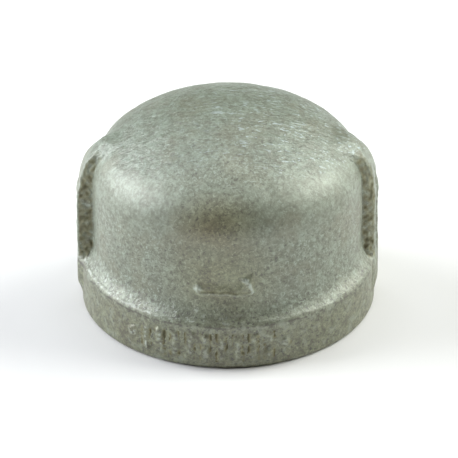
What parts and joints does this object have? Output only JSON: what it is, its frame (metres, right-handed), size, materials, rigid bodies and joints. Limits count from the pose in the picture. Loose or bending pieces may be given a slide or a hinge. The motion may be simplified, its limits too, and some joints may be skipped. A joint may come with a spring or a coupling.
{
  "type": "pipe cap",
  "caption": "Round internally threaded pipe cap with a domed closed end, a thick band round the mouth and opposed wrench ribs.",
  "frame": {"origin": "centre of the mouth's face, where the cap stands", "axes": "+Z along the pipe axis up to the crown, wrench ribs on +X and -X, gate stub and foundry marks on -Y"},
  "size_m": [0.0312, 0.0307, 0.0223],
  "materials": {
    "galvanised_iron": "hot-dip galvanised, dull grey with a faint green tint, fine grain",
    "tapped_iron": "cut after galvanising, bare dark metal, lightly oiled"
  },
  "bodies": {
    "root": {"crown": "galvanised_iron", "body_wall": "galvanised_iron", "mouth_band": "galvanised_iron", "wrench_rib_right": "galvanised_iron", "wrench_rib_left": "galvanised_iron", "gate_stub": "galvanised_iron", "foundry_marks": "galvanised_iron", "thread_ring": "tapped_iron"}
  },
  "joints": []
}
